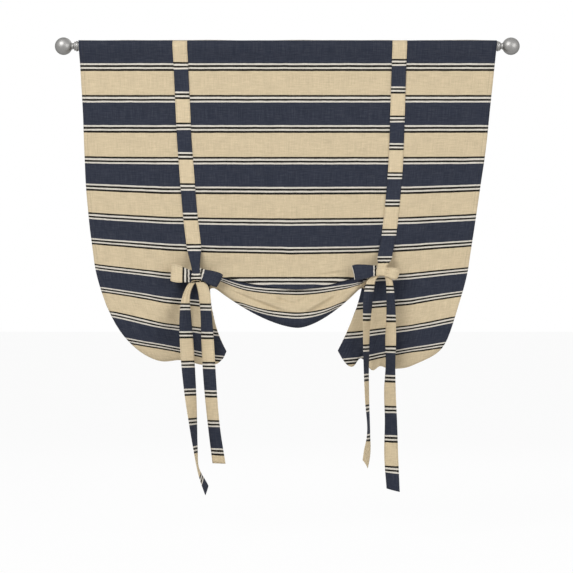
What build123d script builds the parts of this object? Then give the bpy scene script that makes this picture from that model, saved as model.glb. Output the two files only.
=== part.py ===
from build123d import *
import os
from math import cos, radians, sin

# A tie-up curtain on its rod. A cloth panel hangs from the rod by a sewn pocket.
# On each side a strap runs down the front of the cloth and another down its back.
# Tied in a bow, they hold up the lower edge: a swag hangs between the two ties and
# a tail hangs outside each of them.
# Millimetres, +Z up, the front faces -Y, the origin is on the rod's axis midway
# between the top corners of the cloth.

# Cloth panel
CLOTH = 1.5
PANEL_HALF_WIDTH = 583.0
POCKET_DROP = 46.0
POCKET_CLEARANCE = 0.3
SEAM_OPENING = 0.2
DRAPE_DROP = 600.0
LEFT_DRAW = 44.0
RIGHT_DRAW = 76.0
SEW_LAP = 6.0
DRAPE_CLOTH = 1.0

# Swag between the ties
SWAG_DROP = 785.0
SWAG_BELLY = 20.0
SWAG_LOW_X = 30.0
SWAG_LEFT_SPAN = 238.0
SWAG_RIGHT_SPAN = 178.0

# Tails outside the ties
TAIL_DROP = 888.0
TAIL_BELLY = 13.0
TAIL_FLUTE = 9.0
LEFT_TAIL_INNER_X = 222.0
RIGHT_TAIL_INNER_X = 222.0

# Straps
STRAP_WIDTH = 41.0
STRAP_CLOTH = 1.2
STRAP_GAP = 0.3
STRAP_LEAN_DROP = 540.0
LEFT_STRAP_TOP_X = 299.0
RIGHT_STRAP_TOP_X = 313.0
WRAP_WIDTH = 30.0
WRAP_END = 6.0
HOOK_WIDTH = 20.0
HOOK_ROUND = 9.0
HOOK_ROOM = 7.0
LEFT_HOOK_X = 191.0
RIGHT_HOOK_X = 187.0

# Bows
LEFT_KNOT_X = 253.0
LEFT_KNOT_DROP = 643.0
RIGHT_KNOT_X = 262.0
RIGHT_KNOT_DROP = 629.0
KNOT_WIDTH = 18.0
KNOT_HEIGHT = 20.0
KNOT_DEPTH = 11.0
KNOT_STAND_OFF = 25.0
KNOT_BEVEL = 3.0
LOOP_END_RADIUS = 8.0
LOOP_ROOT_RADIUS = 4.0
LOOP_FORWARD = 4.5
LOOP_SINK = 2.0
LOOP_FLAT_COUNT = 10
LEFT_OUTER_LOOP = 62.0
LEFT_INNER_LOOP = 54.0
RIGHT_INNER_LOOP = 62.0
RIGHT_OUTER_LOOP = 40.0
LOOSE_END_STAND_OFF = 46.0
LEFT_OUTER_END = 594.0
LEFT_INNER_END = 508.0
RIGHT_INNER_END = 536.0
RIGHT_OUTER_END = 598.0

# Rod, its end plugs, the studs and the ball finials
ROD_DIAMETER = 25.0
ROD_WALL = 1.2
ROD_END_GAP = 1.0
PLUG_LENGTH = 32.0
PLUG_CLEARANCE = 0.1
STUD_DIAMETER = 8.0
STUD_IN_PLUG = 24.0
STUD_IN_FINIAL = 26.0
STUD_CLEARANCE = 0.1
BALL_DIAMETER = 49.0
BALL_CENTRE = 39.5
COLLAR_DIAMETER = 29.0
COLLAR_LENGTH = 5.0
NECK_DIAMETER = 16.0

# Across the depth and down the drape: the middle of the cloth where the swag is
# lowest and where it is bunched in a tie. From the flat panel it turns under at the
# front lip, up into the tuck, down over the belly and up again behind to the hem.
# Shares of the belly's depth and of the drop from the drape line to the lowest point.
SWAG_LOW_SHARES = [
    (-0.10, 0.20), (-0.45, 0.42), (-0.40, 0.465), (-0.05, 0.44), (0.05, 0.36),
    (0.25, 0.30), (0.45, 0.36), (0.35, 0.48), (-0.55, 0.62), (-1.0, 0.80), (-0.75, 0.96),
    (-0.10, 1.0), (0.80, 0.93), (1.10, 0.65), (1.15, 0.33),
]
SWAG_TIED_SHARES = [
    (-0.05, 0.08), (-0.35, 0.20), (-0.35, 0.235), (-0.05, 0.215), (0.05, 0.17),
    (0.25, 0.13), (0.45, 0.17), (0.40, 0.235), (-0.35, 0.285), (-0.75, 0.335), (-0.60, 0.385),
    (-0.10, 0.405), (0.60, 0.38), (0.90, 0.27), (0.95, 0.12),
]
SWAG_STATION_SHARES = [-1, -0.85, -0.7, -0.55, -0.4, -0.2, 0, 0.2, 0.4, 0.6, 0.8, 1]
SWAG_RISE_POWER_SHARE = 1.6

# Down the side edge of the flat cloth: shares of the drop and of the drawing in.
SIDE_EDGE_SHARES = [(0, 0), (0.30, 0.28), (0.67, 0.56), (1, 1)]

# Down a tail: forward belly, bottom turn and the turned-up hem behind.
TAIL_PROFILE_SHARES = [
    (-0.20, 0.20), (-0.90, 0.60), (-1.0, 0.85), (-0.65, 0.96), (0.10, 1.0),
    (0.90, 0.95), (1.15, 0.80), (1.20, 0.60),
]
# Stations of each tail from the side edge to the inner edge: place along the drape
# line, lean of the section in degrees, drop of the fold and height of the flute.
LEFT_TAIL_SHARES = [
    (0.0, 15.0, 0.50, 0.2), (0.03, 19.0, 0.66, 0.1), (0.08, 22.5, 0.79, 0.0), (0.18, 23.5, 0.89, -0.4),
    (0.32, 22.0, 0.96, 0.5), (0.50, 19.5, 0.985, -0.6), (0.68, 17.0, 0.99, 0.8), (0.84, 14.5, 1.0, -0.4),
    (0.95, 11.5, 0.97, 0.3), (1.0, 9.5, 0.88, 0.6),
]
RIGHT_TAIL_SHARES = [
    (0.0, 13.0, 0.60, 0.2), (0.03, 16.0, 0.73, 0.1), (0.08, 18.5, 0.84, 0.0), (0.18, 19.5, 0.92, -0.3),
    (0.32, 18.5, 0.97, 0.4), (0.50, 17.0, 1.0, -0.5), (0.68, 15.5, 1.02, 0.7), (0.84, 14.5, 1.03, -0.3),
    (0.95, 13.0, 0.98, 0.3), (1.0, 11.0, 0.88, 0.5),
]

# Down a strap from the crown to its gathered end: shares of the way, of its sideways
# drift and of its narrowing.
STRAP_EDGE_SHARES = [(0, 0, 0), (0.42, 0.24, 0), (0.74, 0.55, 0.05), (0.90, 0.80, 0.45), (1, 1, 1)]

# Down the loose end of a strap, from the knot: share of its length, shift to the right
# and spread width as shares of the strap's width, and turn in degrees.
LEFT_OUTER_END_SHARES = [
    (0, -0.15, 0.35, 10), (0.06, -0.50, 0.55, 20), (0.15, -0.75, 0.9, 35), (0.30, -0.70, 1, 28),
    (0.52, -0.45, 1, 38), (0.66, -0.24, 1, 57), (0.80, -0.04, 1, 74), (0.90, 0.22, 1, 83), (1, 0.64, 1, 68),
]
LEFT_INNER_END_SHARES = [
    (0, 0.10, 0.35, -10), (0.06, 0.42, 0.6, -20), (0.14, 0.62, 0.95, -35), (0.32, 0.78, 1, -32),
    (0.52, 0.92, 1, -30), (0.80, 1.22, 1, -36), (1, 1.56, 1, -28),
]
RIGHT_INNER_END_SHARES = [
    (0, -0.15, 0.35, 5), (0.06, -0.68, 0.6, 20), (0.22, -0.95, 1, 56), (0.44, -1.0, 1, 70),
    (0.66, -0.97, 1, 80), (0.84, -0.87, 1, 84), (0.95, -1.05, 1, 64), (1, -0.97, 1, 60),
]
RIGHT_OUTER_END_SHARES = [
    (0, 0.15, 0.35, -30), (0.06, 0.50, 0.55, -36), (0.18, 0.62, 0.95, -42), (0.32, 0.62, 1, -42),
    (0.52, 0.60, 1, -38), (0.80, 0.64, 1, -30), (1, 0.72, 1, -26),
]
LOOSE_END_SETTLE_SHARE = 0.15
LINK_HEIGHT_SHARE = 0.7

# Heights of a bow's loops at the knot and at the far end, as shares of the strap's
# width, and their tilt in degrees, up at the far end.
LEFT_OUTER_LOOP_SHARES = (0.80, 1.07, 5)
LEFT_INNER_LOOP_SHARES = (0.52, 0.92, -14)
RIGHT_INNER_LOOP_SHARES = (0.72, 0.98, -7)
RIGHT_OUTER_LOOP_SHARES = (0.52, 0.74, -10)

os.makedirs("parts", exist_ok=True)

rod_radius = ROD_DIAMETER / 2
bore_radius = rod_radius - ROD_WALL
pocket_radius = rod_radius + POCKET_CLEARANCE
rod_half_length = PANEL_HALF_WIDTH + ROD_END_GAP
left_edge_x = PANEL_HALF_WIDTH - LEFT_DRAW
right_edge_x = PANEL_HALF_WIDTH - RIGHT_DRAW
strap_seat = CLOTH + STRAP_GAP
strap_line = SEAM_OPENING + strap_seat + STRAP_CLOTH / 2
knot_line = KNOT_STAND_OFF + KNOT_DEPTH / 2
wrap_line = KNOT_STAND_OFF + KNOT_DEPTH + STRAP_GAP + STRAP_CLOTH / 2


def strip(plane, points):
    """Section of the draped cloth along a line through the points.

    Above its first point the cloth runs straight up, to lie in the flat panel.
    """
    front, back = [], []
    for i, (across, up) in enumerate(points):
        before, after = points[max(i - 1, 0)], points[min(i + 1, len(points) - 1)]
        run = Vector(after[0] - before[0], after[1] - before[1]).normalized() * (DRAPE_CLOTH / 2)
        front.append((across + run.Y, up - run.X))
        back.append((across - run.Y, up + run.X))
    front[0] = (-DRAPE_CLOTH / 2, points[0][1])
    back[0] = (DRAPE_CLOTH / 2, points[0][1])
    top_front = (front[0][0], front[0][1] + 2 * SEW_LAP)
    top_back = (back[0][0], back[0][1] + 2 * SEW_LAP)
    back.reverse()
    with BuildSketch(plane) as section:
        with BuildLine():
            Polyline(top_front, *front, *back, top_back, close=True)
        make_face()
    return section.sketch


def pocket_outline(swell):
    """Teardrop round the rod and down to the seam, swollen all round."""
    Circle(pocket_radius + swell)
    with Locations((0, -POCKET_DROP)):
        Circle(SEAM_OPENING + swell)
    make_hull()


def side_edge(side, draw):
    """Points down one side of the flat cloth, drawn in towards the ties."""
    top = -POCKET_DROP - CLOTH / 2
    return [
        (side * (PANEL_HALF_WIDTH - inward * draw), top - down * (DRAPE_DROP + top))
        for down, inward in SIDE_EDGE_SHARES
    ]


def swag_profile(share):
    """Middle line of the swag's cloth at a share of the way from its low point to a tie."""
    blend = abs(share) ** SWAG_RISE_POWER_SHARE
    height = SWAG_DROP - DRAPE_DROP
    return [(0, -DRAPE_DROP - SEW_LAP)] + [
        ((low[0] + (tied[0] - low[0]) * blend) * SWAG_BELLY,
         -DRAPE_DROP - (low[1] + (tied[1] - low[1]) * blend) * height)
        for low, tied in zip(SWAG_LOW_SHARES, SWAG_TIED_SHARES)
    ]


def swag_sections():
    """Upright sections of the swag from the left tie to the right one."""
    sections = []
    for share in SWAG_STATION_SHARES:
        x = SWAG_LOW_X + share * (SWAG_LEFT_SPAN if share < 0 else SWAG_RIGHT_SPAN)
        sections.append(strip(Plane.YZ.offset(x), swag_profile(share)))
    return sections


def under_swag(x):
    """How low the swag hangs at a place across it, counted from the rod's axis."""
    span = SWAG_LEFT_SPAN if x < SWAG_LOW_X else SWAG_RIGHT_SPAN
    return max(-z for y, z in swag_profile((x - SWAG_LOW_X) / span))


def tail_profile(length, flute):
    """Middle line of a tail's cloth, of a given length down to the bottom turn."""
    return [(0, -SEW_LAP)] + [
        (depth * TAIL_BELLY - flute * TAIL_FLUTE * down, -down * length)
        for depth, down in TAIL_PROFILE_SHARES
    ]


def tail_sections(side, edge_x, inner_x, stations):
    """Sections of one tail from left to right, each leaning towards the middle as it drops."""
    sections = []
    for place, lean, drop, flute in stations:
        x = side * (edge_x + place * (inner_x - edge_x))
        normal = (cos(radians(lean)), 0, -side * sin(radians(lean)))
        plane = Plane(origin=(x, 0, -DRAPE_DROP), x_dir=(0, 1, 0), z_dir=normal)
        length = drop * (TAIL_DROP - DRAPE_DROP) / cos(radians(lean))
        sections.append(strip(plane, tail_profile(length, flute)))
    return sections[::-side]


# The panel: rod pocket, flat upper cloth, swag and tails in one cloth
with BuildPart() as curtain_panel:
    with BuildSketch(Plane.YZ):
        pocket_outline(CLOTH)
    extrude(amount=PANEL_HALF_WIDTH, both=True)
    with BuildSketch(Plane.YZ):
        pocket_outline(0)
    extrude(amount=PANEL_HALF_WIDTH, both=True, mode=Mode.SUBTRACT)
    with BuildSketch(Plane.XZ):
        with BuildLine():
            left_side = Polyline(*side_edge(-1, LEFT_DRAW))
            right_side = Polyline(*side_edge(1, RIGHT_DRAW))
            Line(left_side @ 0, right_side @ 0)
            Line(left_side @ 1, right_side @ 1)
        make_face()
    extrude(amount=CLOTH / 2, both=True)
    loft(swag_sections(), ruled=True, clean=False)
    loft(tail_sections(-1, left_edge_x, LEFT_TAIL_INNER_X, LEFT_TAIL_SHARES), ruled=True, clean=False)
    loft(tail_sections(1, right_edge_x, RIGHT_TAIL_INNER_X, RIGHT_TAIL_SHARES), ruled=True, clean=False)
curtain_panel.part.label = "curtain_panel"
export_step(curtain_panel.part, "parts/curtain_panel.step")


def front_path(knot_drop):
    """Down the front of the panel, then forward and over the knot."""
    return [
        (-strap_line, -POCKET_DROP),
        (-strap_line, -STRAP_LEAN_DROP),
        (-wrap_line, -knot_drop + STRAP_WIDTH / 2),
        (-wrap_line, -knot_drop - KNOT_HEIGHT / 2 - WRAP_END),
    ]


def back_path(inner_edge_x, knot_drop):
    """Down the back of the panel, under the bunched swag and up in front of it."""
    behind = SWAG_BELLY + HOOK_ROOM
    ahead = KNOT_STAND_OFF + STRAP_CLOTH / 2
    low = under_swag(inner_edge_x) + HOOK_ROOM
    return [
        (strap_line, -POCKET_DROP),
        (strap_line, -STRAP_LEAN_DROP),
        (behind, -DRAPE_DROP),
        (behind, -low),
        (-ahead, -low),
        (-ahead, -knot_drop + KNOT_HEIGHT / 2),
    ]


def strap_band(keep, path, top_x, end_x, end_drop, end_width):
    """Strap from the crown of the pocket down one face of the panel, along a path."""
    crown = pocket_radius + strap_seat + STRAP_CLOTH
    spread = [
        (top_x + drift * (end_x - top_x),
         crown - down * (crown + end_drop),
         STRAP_WIDTH + narrow * (end_width - STRAP_WIDTH))
        for down, drift, narrow in STRAP_EDGE_SHARES
    ]
    with BuildPart() as band:
        with BuildSketch(Plane.YZ):
            pocket_outline(strap_seat + STRAP_CLOTH)
        extrude(amount=PANEL_HALF_WIDTH, both=True)
        with BuildSketch(Plane.YZ):
            pocket_outline(strap_seat)
        extrude(amount=PANEL_HALF_WIDTH, both=True, mode=Mode.SUBTRACT)
        split(bisect_by=Plane.XZ, keep=keep)
        split(bisect_by=Plane.XY.offset(-POCKET_DROP), keep=Keep.TOP)
        with BuildSketch(Plane.YZ):
            with BuildLine():
                FilletPolyline(*path, radius=HOOK_ROUND)
            trace(line_width=STRAP_CLOTH)
        extrude(amount=PANEL_HALF_WIDTH, both=True)
        with BuildSketch(Plane.XZ):
            with BuildLine():
                left = Polyline(*[(x - width / 2, z) for x, z, width in spread])
                right = Polyline(*[(x + width / 2, z) for x, z, width in spread])
                Line(left @ 0, right @ 0)
                low_left = left @ 1 - Vector(0, TAIL_DROP)
                low_right = right @ 1 - Vector(0, TAIL_DROP)
                Polyline(left @ 1, low_left, low_right, right @ 1)
            make_face()
        extrude(amount=PANEL_HALF_WIDTH, both=True, mode=Mode.INTERSECT)
    return band.part


def bow_loop(x, depth, drop, outward, length, shares):
    """Flattened loop of strap, pinched at the knot and round at its far end."""
    root_height_share, end_height_share, tilt = shares
    along = (outward * cos(radians(tilt)), 0, sin(radians(tilt)))
    upright = (-outward * sin(radians(tilt)), 0, cos(radians(tilt)))
    root = (x, -depth, -drop)
    far_end = (length - LOOP_END_RADIUS, -outward * LOOP_FORWARD)
    with BuildPart() as loop:
        for inset, mode in ((0, Mode.ADD), (STRAP_CLOTH, Mode.SUBTRACT)):
            with BuildSketch(Plane(origin=root, x_dir=along, z_dir=upright)):
                with Locations((LOOP_ROOT_RADIUS, 0)):
                    RegularPolygon(LOOP_ROOT_RADIUS - inset, LOOP_FLAT_COUNT)
                with Locations(far_end):
                    RegularPolygon(LOOP_END_RADIUS - inset, LOOP_FLAT_COUNT)
                make_hull()
            extrude(amount=STRAP_WIDTH, both=True, mode=mode)
        root_half = root_height_share * STRAP_WIDTH / 2
        end_half = end_height_share * STRAP_WIDTH / 2
        with BuildSketch(Plane(origin=root, x_dir=along, z_dir=(0, -1, 0))):
            with BuildLine():
                Polyline((0, -root_half), (length, -end_half), (length, end_half), (0, root_half),
                         close=True)
            make_face()
        extrude(amount=length, both=True, mode=Mode.INTERSECT)
    return loop.part


def loose_end(x, depth, drop, length, stations):
    """Hanging end of a strap, which turns about its own length on the way down."""
    sections = []
    for down, shift, spread, turn in reversed(stations):
        settled = min(1, down / LOOSE_END_SETTLE_SHARE)
        place = (x + shift * STRAP_WIDTH,
                 -depth - settled * (LOOSE_END_STAND_OFF - depth),
                 -drop - down * length)
        with BuildSketch(Plane(origin=place, x_dir=(cos(radians(turn)), sin(radians(turn)), 0))) as section:
            Rectangle(spread * STRAP_WIDTH, STRAP_CLOTH)
        sections.append(section.sketch)
    with BuildPart() as end:
        loft(sections, ruled=True)
    return end.part


def knot_core(x, drop):
    """Lump of strap inside the knot, with its edges taken off."""
    with BuildPart() as core:
        with Locations((x, -knot_line, -drop)):
            Box(KNOT_WIDTH, KNOT_DEPTH, KNOT_HEIGHT)
        chamfer(core.edges(), KNOT_BEVEL)
    return core.part


def front_tie(side, top_x, knot_x, knot_drop, loop_side, loop_length, loop_shares,
              end_length, end_shares):
    """Front strap, over the knot, with one loop of the bow and one loose end."""
    upper_drop = knot_drop - KNOT_HEIGHT / 2
    lower_drop = knot_drop + KNOT_HEIGHT / 2
    loop_lean = abs(sin(radians(loop_shares[-1]))) * loop_shares[0] * STRAP_WIDTH / 2
    loop_x = side * knot_x + loop_side * (KNOT_WIDTH / 2 + STRAP_GAP + loop_lean)
    path = front_path(knot_drop)
    band = strap_band(Keep.TOP, path, side * top_x, side * knot_x, upper_drop, WRAP_WIDTH)
    loop_depth = wrap_line - LOOP_ROOT_RADIUS / 2
    loop = bow_loop(loop_x, loop_depth, knot_drop, loop_side, loop_length, loop_shares)
    end = loose_end(side * knot_x, wrap_line, lower_drop + STRAP_CLOTH, end_length, end_shares)
    with BuildPart() as tie:
        add(band)
        add(loop)
        add(end)
    return tie.part


def back_tie(side, top_x, hook_x, knot_x, knot_drop, loop_side, loop_length, loop_shares,
             end_length, end_shares):
    """Back strap, under the swag and into the knot, with the other loop and loose end."""
    inner_edge_x = side * (hook_x - HOOK_WIDTH / 2)
    loop_x = side * knot_x + loop_side * (KNOT_WIDTH / 2 - LOOP_SINK)
    path = back_path(inner_edge_x, knot_drop)
    band = strap_band(Keep.BOTTOM, path, side * top_x, side * hook_x, DRAPE_DROP, HOOK_WIDTH)
    core = knot_core(side * knot_x, knot_drop)
    loop = bow_loop(loop_x, knot_line, knot_drop, loop_side, loop_length, loop_shares)
    end_drop = knot_drop + KNOT_HEIGHT / 2 - LOOP_SINK
    end = loose_end(side * knot_x, knot_line, end_drop, end_length, end_shares)
    with BuildPart() as tie:
        add(band)
        with BuildSketch(Plane.XZ.offset(KNOT_STAND_OFF)):
            with Locations((side * (hook_x + knot_x) / 2, -knot_drop)):
                Rectangle(knot_x - hook_x, LINK_HEIGHT_SHARE * KNOT_HEIGHT)
        extrude(amount=STRAP_CLOTH)
        add(core)
        add(loop)
        add(end)
    return tie.part


# Left bow: the front strap makes the inner loop, the back strap the outer one
front_tie_left = front_tie(
    -1, LEFT_STRAP_TOP_X, LEFT_KNOT_X, LEFT_KNOT_DROP,
    1, LEFT_INNER_LOOP, LEFT_INNER_LOOP_SHARES, LEFT_INNER_END, LEFT_INNER_END_SHARES)
back_tie_left = back_tie(
    -1, LEFT_STRAP_TOP_X, LEFT_HOOK_X, LEFT_KNOT_X, LEFT_KNOT_DROP,
    -1, LEFT_OUTER_LOOP, LEFT_OUTER_LOOP_SHARES, LEFT_OUTER_END, LEFT_OUTER_END_SHARES)

# Right bow: the front strap makes the outer loop, the back strap the inner one
front_tie_right = front_tie(
    1, RIGHT_STRAP_TOP_X, RIGHT_KNOT_X, RIGHT_KNOT_DROP,
    1, RIGHT_OUTER_LOOP, RIGHT_OUTER_LOOP_SHARES, RIGHT_OUTER_END, RIGHT_OUTER_END_SHARES)
back_tie_right = back_tie(
    1, RIGHT_STRAP_TOP_X, RIGHT_HOOK_X, RIGHT_KNOT_X, RIGHT_KNOT_DROP,
    -1, RIGHT_INNER_LOOP, RIGHT_INNER_LOOP_SHARES, RIGHT_INNER_END, RIGHT_INNER_END_SHARES)

for label, tie in (
    ("front_tie_left", front_tie_left),
    ("back_tie_left", back_tie_left),
    ("front_tie_right", front_tie_right),
    ("back_tie_right", back_tie_right),
):
    tie.label = label
    export_step(tie, f"parts/{label}.step")

# Rod tube
with BuildPart() as rod_tube:
    with BuildSketch(Plane.YZ):
        Circle(rod_radius)
        Circle(bore_radius, mode=Mode.SUBTRACT)
    extrude(amount=rod_half_length, both=True)
rod_tube.part.label = "rod_tube"
export_step(rod_tube.part, "parts/rod_tube.step")


def rod_end(side):
    """Plane at one end of the rod, facing outwards."""
    return Plane(origin=(side * rod_half_length, 0, 0), x_dir=(0, 1, 0), z_dir=(side, 0, 0))


# A threaded plug in each end of the tube
with BuildPart() as rod_plugs:
    for side in (-1, 1):
        with BuildSketch(rod_end(side)):
            Circle(bore_radius - PLUG_CLEARANCE)
            Circle(STUD_DIAMETER / 2 + STUD_CLEARANCE, mode=Mode.SUBTRACT)
        extrude(amount=-PLUG_LENGTH)
rod_plugs.part.label = "rod_plugs"
export_step(rod_plugs.part, "parts/rod_plugs.step")

# The studs that hold the finials on
with BuildPart() as finial_studs:
    for side in (-1, 1):
        with BuildSketch(rod_end(side).offset(-STUD_IN_PLUG)):
            Circle(STUD_DIAMETER / 2)
        extrude(amount=STUD_IN_PLUG + STUD_IN_FINIAL)
finial_studs.part.label = "finial_studs"
export_step(finial_studs.part, "parts/finial_studs.step")

# The ball finials: a collar against the rod's end, a tapered neck and the ball
ball_radius = BALL_DIAMETER / 2
neck_radius = NECK_DIAMETER / 2
collar_radius = COLLAR_DIAMETER / 2
stud_hole_radius = STUD_DIAMETER / 2 + STUD_CLEARANCE
stud_hole_depth = STUD_IN_FINIAL + STUD_CLEARANCE
ball_meets_neck = BALL_CENTRE - (ball_radius**2 - neck_radius**2) ** 0.5
with BuildPart() as rod_finials:
    for side in (-1, 1):
        end_plane = Plane(origin=(side * rod_half_length, 0, 0), x_dir=(side, 0, 0), z_dir=(0, -side, 0))
        with BuildSketch(end_plane):
            with BuildLine():
                collar = Polyline((0, stud_hole_radius), (0, collar_radius), (COLLAR_LENGTH, collar_radius))
                Line(collar @ 1, (ball_meets_neck, neck_radius))
                ball = ThreePointArc((ball_meets_neck, neck_radius), (BALL_CENTRE, ball_radius),
                                     (BALL_CENTRE + ball_radius, 0))
                Polyline(ball @ 1, (stud_hole_depth, 0), (stud_hole_depth, stud_hole_radius), collar @ 0)
            make_face()
        revolve(axis=Axis.X)
rod_finials.part.label = "rod_finials"
export_step(rod_finials.part, "parts/rod_finials.step")
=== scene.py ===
import math

import bmesh
import bpy
import numpy as np
from bpy.props import FloatProperty, FloatVectorProperty, PointerProperty
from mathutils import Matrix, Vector


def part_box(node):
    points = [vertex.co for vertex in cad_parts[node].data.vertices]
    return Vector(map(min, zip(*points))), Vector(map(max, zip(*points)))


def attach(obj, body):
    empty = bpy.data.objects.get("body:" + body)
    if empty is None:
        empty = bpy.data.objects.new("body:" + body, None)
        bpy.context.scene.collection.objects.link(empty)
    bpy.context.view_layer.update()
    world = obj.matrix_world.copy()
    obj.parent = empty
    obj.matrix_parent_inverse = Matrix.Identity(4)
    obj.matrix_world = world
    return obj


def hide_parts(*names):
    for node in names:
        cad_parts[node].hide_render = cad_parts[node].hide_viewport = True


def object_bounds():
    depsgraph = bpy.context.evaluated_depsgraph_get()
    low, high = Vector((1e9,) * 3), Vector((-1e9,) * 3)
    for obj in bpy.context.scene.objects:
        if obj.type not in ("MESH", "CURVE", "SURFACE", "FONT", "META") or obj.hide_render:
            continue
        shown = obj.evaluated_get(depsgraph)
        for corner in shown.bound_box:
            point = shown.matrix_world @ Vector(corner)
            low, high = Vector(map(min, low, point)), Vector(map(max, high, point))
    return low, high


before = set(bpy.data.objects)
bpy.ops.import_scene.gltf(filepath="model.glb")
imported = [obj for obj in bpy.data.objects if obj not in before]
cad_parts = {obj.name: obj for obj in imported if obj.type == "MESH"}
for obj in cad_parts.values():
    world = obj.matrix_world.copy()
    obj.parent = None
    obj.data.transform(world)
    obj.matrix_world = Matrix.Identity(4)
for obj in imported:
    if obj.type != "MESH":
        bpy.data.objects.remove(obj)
CAD_BOX = [list(corner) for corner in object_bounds()]

bl_info = {
    "name": "Tie-up curtain",
    "version": (1, 0, 0),
    "blender": (4, 5, 0),
    "location": "View3D > Sidebar > Curtain",
    "description": "Builds a striped tie-up curtain with its straps, bows and rod",
    "category": "Add Mesh",
}

# Shapes are worked out in millimetres, in the frame of the CAD model: +X to the right,
# +Z up, the front faces -Y, the origin on the rod's axis. Meshes are in metres.
MM = 0.001

# The flat upper cloth: half width at each drop below the rod's axis, left and right
SIDE_DROP = (-16, 46, 178, 289, 401, 512, 601)
LEFT_HALF_WIDTH = (582, 578, 570, 566, 561, 550, 538)
RIGHT_HALF_WIDTH = (584, 579, 565, 554, 537, 521, 507)
CROWN = 15.6
POCKET_SEAM = 46.0
POCKET_RADIUS = 14.2
POCKET_PUFF = 2.4
# The pocket closes from the rod to its seam: depth at the seam, and height and depth midway
POCKET_SEAM_DEPTH = 0.7
POCKET_MIDWAY = 25.0
POCKET_MIDWAY_DEPTH = 7.2
FLAT_DROPS = (54, 80, 130, 190, 255, 320, 385, 450, 510, 556, 585)
DRAPE = 600.0

# How far the print runs ahead of the plain drop, where the cloth is drawn to the ties:
# rows are drops from the crown, columns distances from the middle
AHEAD_DROP = (0, 230, 345, 400, 510, 560, 590, 640, 690, 750, 800, 850, 900, 960)
AHEAD_PLACE = (0, 200, 341, 494, 560)
AHEAD = (
    (0, 0, 0, 0, 1, 4, 7, 8, 11, 14, 18, 22, 26, 30),
    (0, 0, 0, 1, 3, 7, 10, 15, 20, 29, 37, 43, 56, 70),
    (0, 0, 0, 1, 6, 15, 17, 23, 33, 46, 58, 79, 107, 125),
    (0, 0, 1, 7, 16, 28, 33, 44, 62, 90, 100, 118, 130, 140),
    (0, 0, 3, 10, 22, 34, 42, 56, 76, 104, 116, 130, 140, 150),
)
RIGHT_AHEAD = 0.86

# Swag: depth and drop below the drape line at its lowest place and at a tie. Flat, lip,
# tuck, belly, bottom turn, hem behind.
SWAG_LOW = (
    (0, 6), (-1, 37), (-5, 68), (-5, 78), (2, 73), (5, 62), (8, 54), (8, 62), (0, 80), (-9, 113),
    (-17, 147), (-14, 177), (-2, 185.5), (15, 173), (21, 120), (22, 62),
)
SWAG_TIED = (
    (0, 6), (-1, 15), (-4, 30), (-4, 36.5), (2, 33), (4, 26), (7, 21), (7, 27), (0, 38), (-7, 53),
    (-13, 59), (-11, 66), (-2, 69), (12, 64), (17, 46), (18, 22),
)
# Place on the cloth at the drape line, and the places of the belly's rows at these shares
# of the way from the low profile to the tied ones, on the left (below 0) and on the right
SWAG_FLAT_PLACE = 626.0
SWAG_WAY = (-1, -0.8, -0.645, -0.453, -0.25, 0, 0.453, 0.645, 0.8, 1)
SWAG_BELLY_PLACES = (
    (750, 748, 745, 744, 748, 757, 744, 738, 731, 722),
    (787, 785, 781, 781, 790, 803, 782, 771, 760, 747),
    (794, 802, 812, 819, 832, 848, 819, 808, 790, 762),
    (800, 818, 835, 858, 869, 883, 858, 835, 810, 777),
    (805, 825, 843, 869, 880, 894, 869, 843, 818, 784),
)
# Creases in the belly, and in the flat cloth above it: ends in width and drop, half width
# across and depth
SWAG_CREASES = (
    ((-178, 668), (14, 742), 7, 8.0), ((-105, 708), (45, 762), 7, -4.5),
    ((140, 686), (40, 744), 7, 8.0), ((104, 722), (34, 752), 6, -4.0),
    ((-40, 694), (22, 714), 5, 5.0), ((62, 692), (12, 714), 5, 5.0),
    ((178, 672), (78, 742), 7, -4.0), ((-60, 690), (-6, 716), 6, -3.0),
)
FLAT_CREASES = (
    ((172, 621), (66, 634), 8, 4.0), ((-176, 630), (-92, 640), 7, 2.0),
    ((150, 604), (96, 618), 8, 1.6),
)
SWAG_LOW_X = 30.0
SWAG_LEFT_END = -208.0
SWAG_RIGHT_END = 208.0

# Tails: from the side edge to the inner edge, share of the way, and the foot of that column
TAIL_INNER_X = 216.0
LEFT_FOOT = (
    (0, 499, 733), (0.035, 479, 778), (0.07, 458, 806), (0.105, 441, 825), (0.14, 425, 840),
    (0.18, 407, 855), (0.23, 383, 869), (0.29, 357, 879), (0.35, 335, 880), (0.42, 305, 873),
    (0.54, 272, 879), (0.65, 243, 888), (0.80, 196, 887), (0.90, 178, 870), (1, 169.5, 850),
)
RIGHT_FOOT = (
    (0, 472, 733), (0.035, 461, 778), (0.06, 452, 802), (0.10, 440, 833), (0.14, 427, 848),
    (0.19, 409, 862), (0.25, 387, 873), (0.32, 362, 884), (0.40, 334, 896), (0.50, 305, 899),
    (0.60, 275, 899), (0.645, 262, 890), (0.67, 254, 884), (0.70, 248, 903), (0.735, 236, 911),
    (0.77, 224, 893), (0.80, 213, 868), (0.85, 197, 868), (0.875, 190, 891), (0.91, 178, 896),
    (0.94, 165, 888), (0.97, 152, 869), (1, 140, 847),
)
# Down a tail: share of the way to the foot and depth, front, bottom turn and back
TAIL_DOWN = (0.05, 0.15, 0.27, 0.40, 0.53, 0.66, 0.78, 0.88, 0.955, 0.99, 1.0,
             0.99, 0.95, 0.85, 0.70, 0.55)
TAIL_DEPTH = (-0.5, -2, -4.5, -7.5, -10, -12, -12.5, -11.5, -9, -5, 0, 5, 9, 12, 13, 13)
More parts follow.
